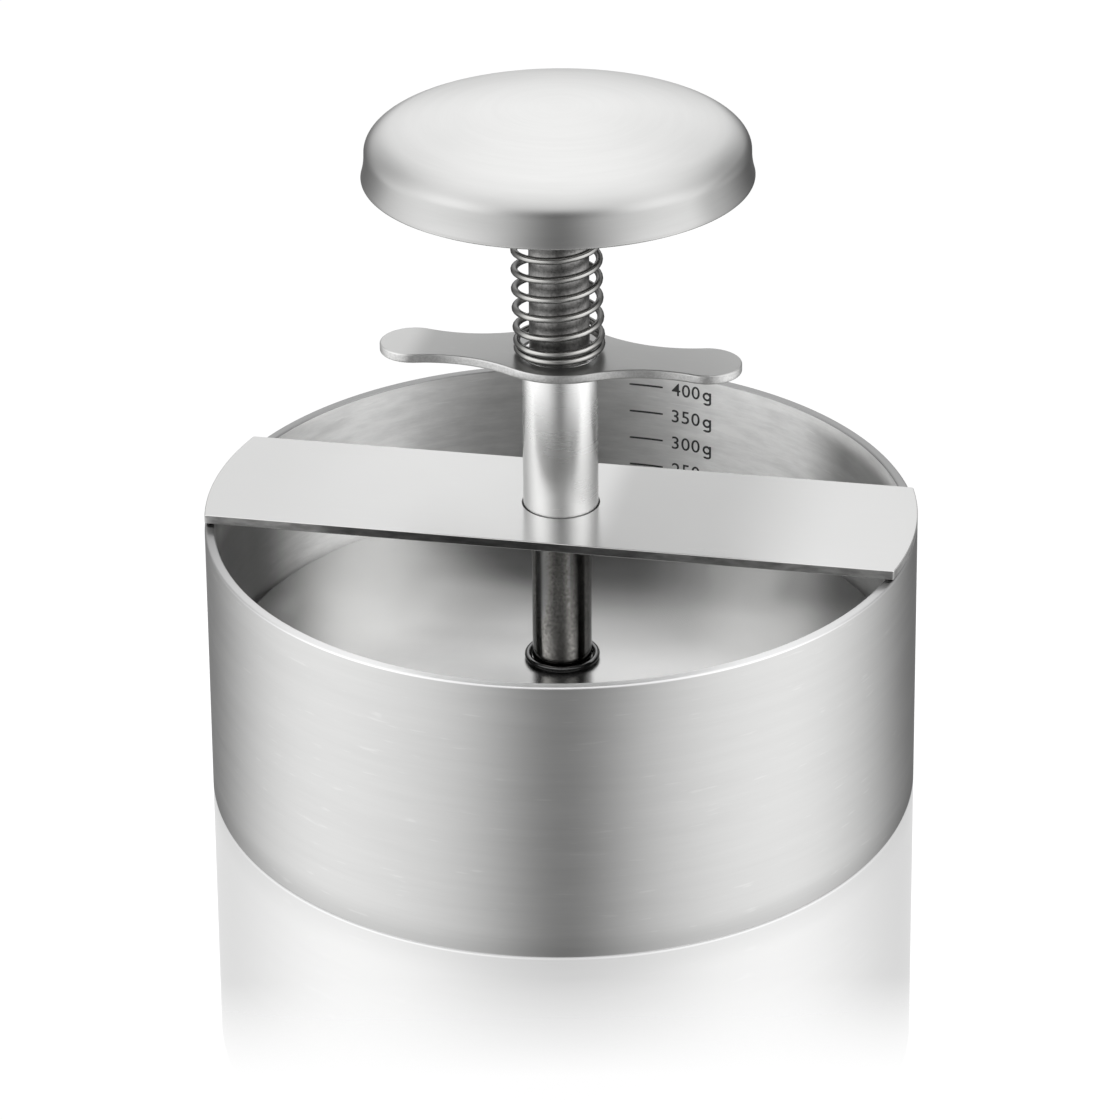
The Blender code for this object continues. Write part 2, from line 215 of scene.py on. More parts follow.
def grain_vector(t, mode, along, across, shift=0.0):
    """Texture coordinates that are stretched along the brushing."""
    co = t.add("ShaderNodeTexCoord").outputs["Object"]
    x, y, z = t.split(co)[:3]
    if mode == "around":            # strokes run round a vertical wall
        return t.combine(
            t.math("MULTIPLY_ADD", x, along, shift), t.math("MULTIPLY", y, along),
            t.math("MULTIPLY", z, across))
    if mode == "turned":            # strokes run round on a face seen from above
        r = t.math("SQRT", t.math("ADD", t.math("MULTIPLY", x, x), t.math("MULTIPLY", y, y)))
        rz = t.math("MULTIPLY_ADD", z, across, t.math("MULTIPLY", r, across))
        return t.combine(
            t.math("MULTIPLY_ADD", x, along, shift), t.math("MULTIPLY", y, along), rz)
    if mode == "up":                # strokes run along Z
        return t.combine(
            t.math("MULTIPLY_ADD", x, across, shift), t.math("MULTIPLY", y, across),
            t.math("MULTIPLY", z, along))
    # along X
    return t.combine(
        t.math("MULTIPLY_ADD", x, along, shift), t.math("MULTIPLY", y, across),
        t.math("MULTIPLY", z, across))


def steel(name, colour, rough, mode, aniso=0.7, grain=0.06, blotch=0.05, bump=1.0,
          along=120.0, across=3200.0, tone=0.05, tangent=None, extra=None, nicks=1.0):
    """Brushed stainless steel.  The grain drives roughness, tone and a fine
    bump; slow noise adds the handling marks of a real piece."""
    mat, t, bsdf = new_material(name)
    fine = t.noise(grain_vector(t, mode, along, across), 1.0, 3.0, 0.6)
    mid = t.noise(grain_vector(t, mode, along * 0.4, across * 0.22, 7.3), 1.0, 2.0, 0.55)
    strokes = t.noise(grain_vector(t, mode, along * 1.6, across * 0.5, 3.1), 1.0, 1.0, 0.5)
    strokes = t.span(strokes, 0.66, 0.78)
    co = t.add("ShaderNodeTexCoord").outputs["Object"]
    slow = t.noise(co, 55.0, 3.0, 0.55)
    cloud = t.noise(co, 18.0, 2.0, 0.5)

    r = t.math("MULTIPLY_ADD", t.math("SUBTRACT", fine, 0.5), grain, rough)
    r = t.math("MULTIPLY_ADD", t.math("SUBTRACT", mid, 0.5), grain, r)
    r = t.math("MULTIPLY_ADD", t.math("SUBTRACT", slow, 0.5), blotch, r)

    v = t.math("MULTIPLY_ADD", t.math("SUBTRACT", fine, 0.5), tone, 1.0)
    v = t.math("MULTIPLY_ADD", t.math("SUBTRACT", mid, 0.5), tone * 1.6, v)
    v = t.math("MULTIPLY_ADD", t.math("SUBTRACT", cloud, 0.5), tone * 1.2, v)
    v = t.math("MULTIPLY_ADD", strokes, tone * 1.2 * nicks, v)
    base = t.vmath("SCALE", t.combine(*colour), scale=v)

    height = t.math("MULTIPLY_ADD", mid, 0.6, t.math("MULTIPLY", fine, 0.5))
    height = t.math("MULTIPLY_ADD", strokes, -0.5 * nicks, height)
    state = {"t": t, "bsdf": bsdf, "base": base, "rough": r, "height": height, "co": co}
    if extra:
        extra(state)
    t.link(state["base"], bsdf.inputs["Base Color"])
    t.link(t.math("MAXIMUM", state["rough"], 0.04), bsdf.inputs["Roughness"])
    bsdf.inputs["Metallic"].default_value = 1.0
    t.put(bsdf.inputs["Anisotropic"], state.get("aniso", aniso))
    if tangent is None:
        tan = t.add("ShaderNodeTangent", direction_type="RADIAL", axis="Z")
        t.link(tan.outputs[0], bsdf.inputs["Tangent"])
        bsdf.inputs["Anisotropic Rotation"].default_value = 0.25
    else:
        tr = t.add("ShaderNodeVectorTransform", vector_type="VECTOR",
                   convert_from="OBJECT", convert_to="WORLD")
        tr.inputs[0].default_value = tangent
        t.link(tr.outputs[0], bsdf.inputs["Tangent"])
        bsdf.inputs["Anisotropic Rotation"].default_value = 0.0
    if bump:
        b = t.add("ShaderNodeBump")
        b.inputs["Strength"].default_value = 1.0
        b.inputs["Distance"].default_value = 0.000002 * bump
        t.link(state["height"], b.inputs["Height"])
        t.link(b.outputs[0], bsdf.inputs["Normal"])
    return mat


def edge_mask_z(lo, hi):
    """Mask along local z for polished or worn rims."""
    def apply(s, strength):
        t = s["t"]
        z = t.split(s["co"])[2]
        return t.math("MULTIPLY", t.span(z, lo, hi), strength)
    return apply


# --------------------------------------------------------------------- materials
def ring_extra(s):
    t = s["t"]
    x, y, z = t.split(s["co"])[:3]
    r = t.math("SQRT", t.math("ADD", t.math("MULTIPLY", x, x), t.math("MULTIPLY", y, y)))
    # crossed hand scratches and patches on the inner wall only; its colour also carries painted light and painted
    # shade
    inner = t.span(r, RING_R - 0.5 * RING_WALL, RING_R - 0.9 * RING_WALL)
    turn = t.math("ARCTAN2", y, x)
    lean = t.math("MULTIPLY_ADD", x, 0.03, z)
    scratch = t.noise(t.combine(t.math("MULTIPLY", turn, 7.5), t.math("MULTIPLY", lean, 560.0), 0.0),
                      1.0, 4.0, 0.65)
    outward = t.vmath("NORMALIZE", t.vmath("MULTIPLY", s["co"], (1.0, 1.0, 0.0)))
    look = t.vmath("MULTIPLY", t.add("ShaderNodeNewGeometry").outputs["Incoming"], (1.0, 1.0, 0.0))
    near = t.vmath("DOT_PRODUCT", t.vmath("NORMALIZE", look), outward)
    patch = t.noise(s["co"], 85.0, 3.0, 0.6)
    # painted light: the bore's base is lifted to 1.42 times the outer wall's
    v = t.math("MULTIPLY_ADD", t.math("SUBTRACT", scratch, 0.5), 0.62, 1.42)
    v = t.math("MULTIPLY_ADD", t.math("SUBTRACT", patch, 0.5), 0.30, v)
    # painted highlight that follows the eye: the far half of the bore is lit 1.3 times, except where it faces the
    # eye square on
    v = t.math("MULTIPLY", v, t.span(near, -0.985, -0.86, 1.0, 1.30))
    # painted shade at both ends of the bridge
    v = t.math("MULTIPLY", v, t.span(t.math("ABSOLUTE", x), 51.5 * MM, 55 * MM, 1.0, 0.42))
    # painted shade on the sides and the near half of the bore, as the eye sees it
    v = t.math("MULTIPLY", v, t.span(near, -0.20, -0.08, 1.0, 0.55))
    # painted shadow low on the left end of the bore, below the bridge
    shadow = t.math("MULTIPLY", t.span(x, -47 * MM, -54 * MM), t.span(z, 42 * MM, 36 * MM))
    v = t.math("MULTIPLY", v, t.math("MULTIPLY_ADD", shadow, -0.58, 1.0))
    # painted shade on the right end of the bore below 41 mm, beside the bridge end
    right_end_shade = t.math("MULTIPLY", t.span(x, 33 * MM, 42 * MM), t.span(z, 44.5 * MM, 41 * MM))
    v = t.math("MULTIPLY", v, t.math("MULTIPLY_ADD", right_end_shade, -0.58, 1.0))
    v = t.mix(inner, 1.0, v, "FLOAT")
    s["base"] = t.vmath("MINIMUM", t.vmath("SCALE", s["base"], scale=v), (1.0, 1.0, 0.99))
    s["rough"] = t.math("MULTIPLY_ADD", t.math("SUBTRACT", scratch, 0.5),
                        t.math("MULTIPLY", inner, 0.16), s["rough"])
    s["rough"] = t.math("MULTIPLY_ADD", inner, 0.12, s["rough"])
    s["aniso"] = t.mix(inner, 0.82, 0.90, "FLOAT")
    low_band = t.math("MULTIPLY", t.span(z, 5 * MM, 0.5 * MM), t.math("SUBTRACT", 1.0, inner))
    s["base"] = t.vmath("SCALE", s["base"], scale=t.math("MULTIPLY_ADD", low_band, -0.18, 1.0))
    # ground and polished rims, top and bottom; their colour is a painted highlight, bright where the rim faces the
    # eye and grey at the sides
    top = t.span(z, RING_H - 0.32 * MM, RING_H - 0.18 * MM)
    foot = t.span(z, 0.30 * MM, 0.12 * MM)
    rims_and_highlight = t.math("MAXIMUM", top, foot)
    # painted highlight on the rims, following the eye
    shade = t.span(near, -0.1, 0.85, 0.30, 0.74)
    s["base"] = t.mix(rims_and_highlight, s["base"], t.combine(shade, shade, shade))
    s["rough"] = t.mix(rims_and_highlight, s["rough"], 0.34, "FLOAT")


def knob_extra(s):
    t = s["t"]
    x, y, z = t.split(s["co"])[:3]
    # the crown is bead-satin, the side is brushed round
    crown = t.span(z, knob_hi.z - 6.0 * MM, knob_hi.z - 2.4 * MM)
    s["rough"] = t.math("MULTIPLY_ADD", crown, 0.06, s["rough"])
    # painted shade near both seen outlines of the side wall, stronger on the right
    across = band_position(t)
    side = t.math("MULTIPLY_ADD", t.span(across, 0.66, 0.80), -0.22, 1.0)
    side = t.math("MULTIPLY_ADD", t.span(across, -0.86, -0.95), -0.14, side)
    # painted light on the crown: its base is 1.55 times the side's
    s["base"] = t.vmath("SCALE", s["base"], scale=t.mix(crown, side, 1.55, "FLOAT"))
    s["aniso"] = t.mix(crown, 0.70, 0.38, "FLOAT")
    rim = t.span(z, knob_lo.z + 0.45 * MM, knob_lo.z + 0.15 * MM)
    s["base"] = t.mix(rim, s["base"], (0.58, 0.58, 0.575))
    s["rough"] = t.mix(rim, s["rough"], 0.22, "FLOAT")


def face_masks(s):
    """Where a plate shows its sheared edge, and where its burnished corner."""
    t = s["t"]
    geo = t.add("ShaderNodeNewGeometry")
    tr = t.add("ShaderNodeVectorTransform", vector_type="NORMAL",
               convert_from="WORLD", convert_to="OBJECT")
    t.link(geo.outputs["True Normal"], tr.inputs[0])
    nz = t.math("ABSOLUTE", t.split(tr.outputs[0])[2])
    side = t.span(nz, 0.45, 0.12)
    corner = t.math("MULTIPLY", t.span(nz, 0.985, 0.85), t.span(nz, 0.2, 0.5))
    return side, corner


def plate_extra(edge_colour, edge_rough, speckle=0.0):
    """Sheared edge faces: slightly rougher and lighter, with burnished corners; painted light on the left lobe."""
    def apply(s):
        t = s["t"]
        x = t.split(s["co"])[0]
        # painted light: the base of the bar's left lobe is raised 1.45 times
        lit_lobe = t.span(x, bar_lo.x + 9 * MM, bar_lo.x + 4 * MM)
        s["base"] = t.vmath("SCALE", s["base"], scale=t.math("MULTIPLY_ADD", lit_lobe, 0.45, 1.0))
        side, corner = face_masks(s)
        pits = t.span(t.noise(s["co"], 2600.0, 2.0, 0.6), 0.35, 0.65)
        e = t.vmath("SCALE", t.combine(*edge_colour),
                    scale=t.math("MULTIPLY_ADD", pits, speckle, 1.0 - speckle / 2))
        s["base"] = t.mix(side, s["base"], e)
        s["rough"] = t.mix(side, s["rough"], edge_rough, "FLOAT")
        s["base"] = t.mix(t.math("MULTIPLY", corner, 0.5), s["base"], (0.66, 0.66, 0.65))
        s["rough"] = t.mix(corner, s["rough"], 0.30, "FLOAT")
    return apply


def bridge_extra(s):
    """Hazy bands in the brushed face, a painted reflection of the knob as a dark band, painted shade on the
    underside, and a blanked edge painted dark in steps along x, with a bright arris.
    """
    t = s["t"]
    x, y, z = t.split(s["co"])[:3]
    haze = t.noise(t.combine(t.math("MULTIPLY", x, 34.0), t.math("MULTIPLY", y, 16.0), 0.0), 1.0, 1.0, 0.5)
    # painted reflection: the knob mirrored as a dark band across the face
    knob_reflection_band = t.math("MULTIPLY", t.span(x, 5 * MM, 11 * MM), t.span(x, 46 * MM, 24 * MM))
    v = t.math("MULTIPLY_ADD", knob_reflection_band, -0.24, 1.0)
    v = t.math("MULTIPLY_ADD", t.math("SUBTRACT", haze, 0.5), 0.10, v)
    v = t.math("MULTIPLY", v, t.span(x, -57 * MM, -20 * MM, 0.93, 1.0))
    s["base"] = t.vmath("SCALE", s["base"], scale=v)
    side, corner = face_masks(s)
    mottle = t.span(t.noise(t.combine(t.math("MULTIPLY", x, 260.0), t.math("MULTIPLY", y, 260.0),
                                      t.math("MULTIPLY", z, 900.0)), 1.0, 3.0, 0.6), 0.3, 0.7)
    # painted shade on the blanked edge: dark, lighter at the far left and in steps towards the right end
    e = t.vmath("SCALE", t.combine(0.24, 0.24, 0.238), scale=t.math("MULTIPLY_ADD", mottle, 0.5, 0.75))
    for a, b, lo, hi in ((-38, -34, 1.25, 0.50), (-28, -8, 1.0, 0.82), (-4, 10, 1.0, 1.32),
                         (13, 21, 1.0, 1.5), (34, 45, 1.0, 1.9)):
        e = t.vmath("SCALE", e, scale=t.span(x, a * MM, b * MM, lo, hi))
    # painted shade on the underside of the bridge
    underside_shade = t.span(t.split(t.add("ShaderNodeNewGeometry").outputs["Normal"])[2], -0.6, -0.9)
    s["base"] = t.vmath("SCALE", s["base"], scale=t.math("MULTIPLY_ADD", underside_shade, -0.45, 1.0))
    s["base"] = t.mix(side, s["base"], e)
    s["rough"] = t.mix(side, s["rough"], 0.36, "FLOAT")
    s["base"] = t.mix(t.math("MULTIPLY", corner, 0.6), s["base"], (0.70, 0.70, 0.69))
    s["rough"] = t.mix(corner, s["rough"], 0.24, "FLOAT")


def band_position(t):
    """-1 at the left outline of a round upright piece, +1 at the right, as seen."""
    geo = t.add("ShaderNodeNewGeometry")
    side = t.vmath("NORMALIZE", t.vmath("CROSS_PRODUCT", (0.0, 0.0, 1.0), geo.outputs["Incoming"]))
    return t.vmath("DOT_PRODUCT", side, geo.outputs["Normal"])


def facing(t):
    """1 where the surface looks at the eye, 0 at its outline."""
    geo = t.add("ShaderNodeNewGeometry")
    return t.math("ABSOLUTE", t.vmath("DOT_PRODUCT", geo.outputs["Incoming"], geo.outputs["Normal"]))


def spring_extra(s):
    """Drawn wire with painted shade: its flanks are painted dark, a painted reflection of the dark gaps between
    the coils.
    """
    t = s["t"]
    v = t.span(facing(t), 0.12, 0.72, 0.22, 1.0)
    # painted shade: the bends at the sides and the far half of each turn are darkened
    look = t.add("ShaderNodeNewGeometry").outputs["Incoming"]
    flat = t.vmath("NORMALIZE", t.vmath("MULTIPLY", look, (1.0, 1.0, 0.0)))
    side = t.vmath("CROSS_PRODUCT", (0.0, 0.0, 1.0), flat)
    bend = t.math("ABSOLUTE", t.vmath("DOT_PRODUCT", side, s["co"]))
    v = t.math("MULTIPLY", v, t.span(bend, 4.9 * MM, 6.9 * MM, 1.0, 0.46))
    v = t.math("MULTIPLY", v, t.span(t.vmath("DOT_PRODUCT", flat, s["co"]), 1.0 * MM, -3.5 * MM, 1.0, 0.55))
    s["base"] = t.vmath("SCALE", s["base"], scale=v)


def rod_extra(s):
    t = s["t"]
    z = t.split(s["co"])[2]
    specks = t.noise(s["co"], 2100.0, 3.0, 0.65)
    fine = t.math("MULTIPLY_ADD", t.math("SUBTRACT", specks, 0.5), 1.7, 1.0)
    # painted reflection: the polish's surroundings are painted into the colour as upright bands, wherever it is
    # seen from
    across = band_position(t)
    bands = t.add("ShaderNodeValToRGB")
    bands.color_ramp.interpolation = "B_SPLINE"
    e = bands.color_ramp.elements
    stops = [(-1.0, .12), (-.93, .06), (-.86, .12), (-.77, .80), (-.68, .98), (-.55, .90), (-.42, .64),
             (-.27, .36), (-.13, .22), (0.0, .17), (.12, .22), (.24, .52), (.37, .72), (.49, .30),
             (.61, .09), (.74, .38), (.86, .26), (1.0, .08)]
    while len(e) > 1:
        e.remove(e[-1])
    for i, (p, v) in enumerate(stops):
        el = e[0] if i == 0 else e.new((p + 1) / 2)
        el.position = (p + 1) / 2
        el.color = (v, v * 0.99, v * 0.97, 1.0)
    t.link(t.math("MULTIPLY_ADD", across, 0.5, 0.52), bands.inputs[0])
    reflection_bands = t.vmath("SCALE", t.vmath("MULTIPLY", s["base"], bands.outputs[0]), scale=3.2)
    # the spring has rubbed the upper end dull
    dull_and_shadow = t.span(z, 71 * MM, 74 * MM)
    # painted shade towards the rod's foot at the disc, painted light higher up
    reflection_bands = t.vmath("SCALE", reflection_bands, scale=t.span(z, 21 * MM, 34 * MM, 0.42, 1.75, smooth=False))
    s["base"] = t.vmath("SCALE", t.mix(dull_and_shadow, reflection_bands, t.vmath("SCALE", s["base"], scale=0.95)), scale=fine)
    s["rough"] = t.math("MULTIPLY_ADD", dull_and_shadow, 0.27, s["rough"])


def disc_extra(s):
    """Slow patches in the turned face; a painted shadow of the bridge, and patches of painted shade and painted
    light.
    """
    t = s["t"]
    place = t.add("ShaderNodeNewGeometry").outputs["Position"]
    x, y, z = t.split(place)[:3]
    slant = t.math("MULTIPLY_ADD", t.math("MAXIMUM", t.math("SUBTRACT", y, 20 * MM), 0.0), 0.9, x)
    # painted shadow of the bridge on the disc
    dull_and_shadow = t.math("MULTIPLY", t.span(slant, -22 * MM, -4 * MM), t.span(x, 27 * MM, 6 * MM))
    dull_and_shadow = t.math("MULTIPLY", dull_and_shadow, t.span(y, 12 * MM, 30 * MM))
    # painted shade at the back right, near the bridge's right end
    far = t.math("MULTIPLY", t.span(x, 29 * MM, 34 * MM), t.span(y, 20 * MM, 31 * MM))
    # painted shade at the front left of the disc
    front = t.math("MULTIPLY", t.span(x, 4 * MM, -8 * MM), t.span(x, -38 * MM, -28 * MM))
    front = t.math("MULTIPLY", front, t.span(y, 4 * MM, -8 * MM))
    v = t.math("MULTIPLY_ADD", dull_and_shadow, -0.64, 1.0)
    v = t.math("MULTIPLY_ADD", far, -0.26, v)
    v = t.math("MULTIPLY_ADD", front, -0.27, v)
    # painted light on the left of the disc, painted shade at its far left
    v = t.math("MULTIPLY_ADD", t.span(x, -8 * MM, -34 * MM), 0.27, v)
    v = t.math("MULTIPLY_ADD", t.span(x, -37 * MM, -51 * MM), -0.28, v)
    # painted shade right of the rod, below the bridge
    right = t.math("MULTIPLY", t.span(x, 14 * MM, 24 * MM), t.span(y, 16 * MM, 27 * MM))
    v = t.math("MULTIPLY_ADD", right, -0.20, v)
    # painted light in a patch left of the rod
    glow = t.math("MULTIPLY", t.span(x, -31 * MM, -24 * MM), t.span(x, -3 * MM, -9 * MM))
    glow = t.math("MULTIPLY", glow, t.math("MULTIPLY", t.span(y, 3 * MM, 10 * MM), t.span(y, 27 * MM, 20 * MM)))
    v = t.math("MULTIPLY_ADD", glow, 0.20, v)
    # painted light at the far left end
    end = t.math("MULTIPLY", t.span(x, -46 * MM, -50 * MM), t.span(y, 15 * MM, 7 * MM))
    v = t.math("MULTIPLY_ADD", end, 0.45, v)
    patch = t.noise(t.combine(t.math("MULTIPLY", x, 26.0), t.math("MULTIPLY", y, 62.0), 0.0), 1.0, 3.0, 0.55)
    v = t.math("MULTIPLY_ADD", t.math("SUBTRACT", patch, 0.5), 0.24, v)
    s["base"] = t.vmath("SCALE", s["base"], scale=v)


M_RING = steel("ring_steel", (0.51, 0.51, 0.506), 0.36, "around", aniso=0.82, grain=0.07,
               blotch=0.05, tone=0.07, extra=ring_extra)
M_BRIDGE = steel("bridge_steel", (0.61, 0.61, 0.606), 0.29, "along", aniso=0.80, grain=0.03,
                 tone=0.012, tangent=(0.0, 1.0, 0.25), bump=0.3, extra=bridge_extra)
M_TUBE = steel("tube_steel", (0.83, 0.83, 0.825), 0.27, "around", aniso=0.72, grain=0.015,
               tone=0.012, bump=0.0, nicks=0.0)
M_BAR = steel("bar_steel", (0.355, 0.355, 0.352), 0.36, "along", aniso=0.55, grain=0.04,
              tone=0.03, tangent=(0.0, 1.0, 0.25), bump=0.5,
              extra=plate_extra((0.55, 0.55, 0.545), 0.38, 0.16))
M_KNOB = steel("knob_steel", (0.44, 0.44, 0.436), 0.30, "turned", aniso=0.7, grain=0.06,
               tone=0.06, bump=0.6, extra=knob_extra, nicks=0.12)
M_ROD = steel("rod_steel", (0.31, 0.306, 0.30), 0.11, "around", aniso=0.4, grain=0.08,
              blotch=0.08, tone=0.16, extra=rod_extra, across=2400.0, along=300.0)
M_DISC = steel("disc_steel", (0.62, 0.62, 0.616), 0.26, "turned", aniso=0.70, grain=0.012,
               tone=0.010, bump=0.0, extra=disc_extra, nicks=0.0)
M_SPRING = steel("spring_steel", (0.43, 0.427, 0.415), 0.20, "along", aniso=0.0, grain=0.05,
                 tone=0.10, bump=0.5, along=900.0, across=900.0, extra=spring_extra)
M_FIX = steel("fastener_steel", (0.44, 0.44, 0.432), 0.30, "around", aniso=0.4, tone=0.08)


def plain(name, colour, rough, metallic=0.0, spec=0.5, grain=900.0, tone=0.25, bump=6.0):
    """Rubber, plastic or ink: speckled tone, uneven gloss and a fine bump."""
    mat, t, bsdf = new_material(name)
    co = t.add("ShaderNodeTexCoord").outputs["Object"]
    a = t.noise(co, grain, 3.0, 0.6)
    b = t.noise(co, grain * 0.12, 2.0, 0.5)
    v = t.math("MULTIPLY_ADD", t.math("SUBTRACT", a, 0.5), tone, 1.0)
    v = t.math("MULTIPLY_ADD", t.math("SUBTRACT", b, 0.5), tone, v)
    t.link(t.vmath("SCALE", t.combine(*colour), scale=v), bsdf.inputs["Base Color"])
    r = t.math("MULTIPLY_ADD", t.math("SUBTRACT", a, 0.5), 0.18, rough)
    t.link(r, bsdf.inputs["Roughness"])
    bsdf.inputs["Metallic"].default_value = metallic
    bsdf.inputs["Specular IOR Level"].default_value = spec
    bmp = t.add("ShaderNodeBump")
    bmp.inputs["Strength"].default_value = 1.0
    bmp.inputs["Distance"].default_value = 0.000002 * bump
    t.link(a, bmp.inputs["Height"])
    t.link(bmp.outputs[0], bsdf.inputs["Normal"])
    return mat


M_RUBBER = plain("o_ring_rubber", (0.010, 0.010, 0.010), 0.17, 0.0, 0.32, grain=1700.0, tone=0.4, bump=9.0)


def oiled_rubber_and_sheen(mat):
    """The O-ring is oiled, so its gloss is high; the stronger specular level on its upper side than on its flanks
    is a painted highlight.
    """
    t = Tree(mat.node_tree)
    bsdf = next(n for n in mat.node_tree.nodes if n.type == "BSDF_PRINCIPLED")
    up = t.split(t.add("ShaderNodeNewGeometry").outputs["Normal"])[2]
    t.link(t.span(up, 0.50, 0.86, 0.15, 1.0), bsdf.inputs["Specular IOR Level"])
    bsdf.inputs["IOR"].default_value = 1.9


oiled_rubber_and_sheen(M_RUBBER)
M_MARK = plain("etched_mark", (0.055, 0.055, 0.055), 0.55, 0.0, 0.3)


# ==================================================================== mesh tools
def arc(cx, cz, rx, rz, start, end, count):
    out = []
    for i in range(count + 1):
        a = math.radians(start + (end - start) * i / count)
        out.append((cx + rx * math.cos(a), cz + rz * math.sin(a)))
    return out


def finish_mesh(name, mesh, mat, body, nodes, sharp=40.0, weighted=False):
    obj = bpy.data.objects.new(name, mesh)
    scene.collection.objects.link(obj)
    mesh.shade_smooth()
    mesh.set_sharp_from_angle(angle=math.radians(sharp))
    obj.data.materials.append(mat)
    if weighted:
        w = obj.modifiers.new("weighted", "WEIGHTED_NORMAL")
        w.keep_sharp = True
        w.mode = "FACE_AREA"
    if body:
        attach(obj, body)
    if nodes:
        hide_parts(*nodes)
    return obj


def lathe_mesh(name, profile, segs, closed):
    """Spins a profile of (radius, z) round Z; points on the axis are shared."""
    bm = bmesh.new()
    rings = []
    for r, z in profile:
        if r < 1e-7:
            rings.append([bm.verts.new((0.0, 0.0, z))])
        else:
            rings.append([
                bm.verts.new((r * math.cos(math.tau * k / segs),
                              r * math.sin(math.tau * k / segs), z))
                for k in range(segs)])
    pairs = list(zip(rings, rings[1:]))
    if closed:
        pairs.append((rings[-1], rings[0]))
    for a, b in pairs:
        for k in range(segs):
            n = (k + 1) % segs
            corners = [a[k % len(a)], b[k % len(b)], b[n % len(b)], a[n % len(a)]]
            unique = []
            for c in corners:
                if c not in unique:
                    unique.append(c)
            if len(unique) > 2:
                bm.faces.new(unique)
    bmesh.ops.recalc_face_normals(bm, faces=bm.faces)
    mesh = bpy.data.meshes.new(name)
    bm.to_mesh(mesh)
    bm.free()
    return mesh


def sleeve(r_in, r_out, z0, z1, edge_out, edge_in, steps=5):
    """Section of a tube with rounded rims."""
    return (
        arc(r_out - edge_out, z1 - edge_out, edge_out, edge_out, 90, 0, steps)
        + arc(r_out - edge_out, z0 + edge_out, edge_out, edge_out, 0, -90, steps)
        + arc(r_in + edge_in, z0 + edge_in, edge_in, edge_in, 270, 180, steps)
        + arc(r_in + edge_in, z1 - edge_in, edge_in, edge_in, 180, 90, steps)
    )


def plate_mesh(name, outline, hole_r, z0, z1, edge):
    """A flat plate with a round hole.  Every edge is rounded: the outline is
    stepped inwards along its own normals."""
    def inset(points, d):
        n = len(points)
        out = []
        for i in range(n):
            p0 = Vector(points[i - 1])
            p1 = Vector(points[i])
            p2 = Vector(points[(i + 1) % n])
            d1 = (p1 - p0).normalized()
            d2 = (p2 - p1).normalized()
            n1 = Vector((-d1.y, d1.x))
            n2 = Vector((-d2.y, d2.x))
            m = n1 + n2
            m = m / max(m.length_squared, 1e-12) * 2.0
            out.append((p1.x + m.x * d, p1.y + m.y * d))
        return out

    bm = bmesh.new()
    steps = 5
    levels = []
    for i in range(steps + 1):                       # lower edge, from the face up
        a = math.pi / 2 * i / steps
        levels.append((edge * (1 - math.sin(a)), z0 + edge * (1 - math.cos(a))))
    for i in range(steps + 1):
        a = math.pi / 2 * (1 - i / steps)
        levels.append((edge * (1 - math.sin(a)), z1 - edge * (1 - math.cos(a))))
    loops = []
    for d, z in levels:
        loops.append([bm.verts.new((x, y, z)) for x, y in inset(outline, d)])
    n = len(outline)
    for a, b in zip(loops, loops[1:]):
        for k in range(n):
            bm.faces.new((a[k], a[(k + 1) % n], b[(k + 1) % n], b[k]))
    segs = 96
    holes = []
    for d, z in levels:
        holes.append([
            bm.verts.new(((hole_r + d) * math.cos(math.tau * k / segs),
                          (hole_r + d) * math.sin(math.tau * k / segs), z))
            for k in range(segs)])
    for a, b in zip(holes, holes[1:]):
        for k in range(segs):
            bm.faces.new((a[k], b[k], b[(k + 1) % segs], a[(k + 1) % segs]))
    for outer, inner in ((loops[0], holes[0]), (loops[-1], holes[-1])):
        edges = []
        for loop in (outer, inner):
            m = len(loop)
            for k in range(m):
                e = bm.edges.get((loop[k], loop[(k + 1) % m]))
                edges.append(e)
        bmesh.ops.triangle_fill(bm, use_beauty=True, use_dissolve=False, edges=edges)
    bmesh.ops.recalc_face_normals(bm, faces=bm.faces)
    mesh = bpy.data.meshes.new(name)
    bm.to_mesh(mesh)
    bm.free()
    return mesh


# ======================================================================== pieces
# ------------------------------------------------------------------- mould ring
ring_in = RING_R - RING_WALL
ring_profile = sleeve(ring_in, RING_R, 0.0, RING_H, 0.38 * MM, 0.30 * MM, 6)
# a few levels on both walls, so the mesh stays even
full = []
for i, (r, z) in enumerate(ring_profile):
    full.append((r, z))
    nxt = ring_profile[(i + 1) % len(ring_profile)]
    if abs(nxt[1] - z) > 10 * MM:
        for k in range(1, 8):
            full.append((r, z + (nxt[1] - z) * k / 8))
finish_mesh("ring_wall", lathe_mesh("ring_wall", full, 288, True), M_RING,
            "mould", ["mould_ring"])

# ------------------------------------------------ gram scale on the ring's bore
MARK_STEP = 5.08 * MM
MARK_ZERO = 1.7 * MM


def wrapped(x, z, lift):
    """x runs to the right as seen from the axis; lift is towards the axis."""
    a = math.radians(88.5) - x / ring_in
    r = ring_in - lift
    return (r * math.cos(a), r * math.sin(a), z)


mark_bm = bmesh.new()
LIFT = (-0.02 * MM, 0.03 * MM)
tick_len = math.radians(88.5 - 82.3) * ring_in
for n in range(2, 9):
    z0 = MARK_ZERO + n * MARK_STEP
    half = 0.17 * MM
    cols = []
    for i in range(13):
        x = tick_len * i / 12
        if i in (0, 12):
            h = half * 0.8
        else:
            h = half
        cols.append([mark_bm.verts.new(wrapped(x, z0 + dz, lift))
                     for dz, lift in ((-h, LIFT[0]), (h, LIFT[0]), (h, LIFT[1]), (-h, LIFT[1]))])
    for a, b in zip(cols, cols[1:]):
        for k in range(4):
            mark_bm.faces.new((a[k], a[(k + 1) % 4], b[(k + 1) % 4], b[k]))
    mark_bm.faces.new(list(reversed(cols[0])))
    mark_bm.faces.new(cols[-1])

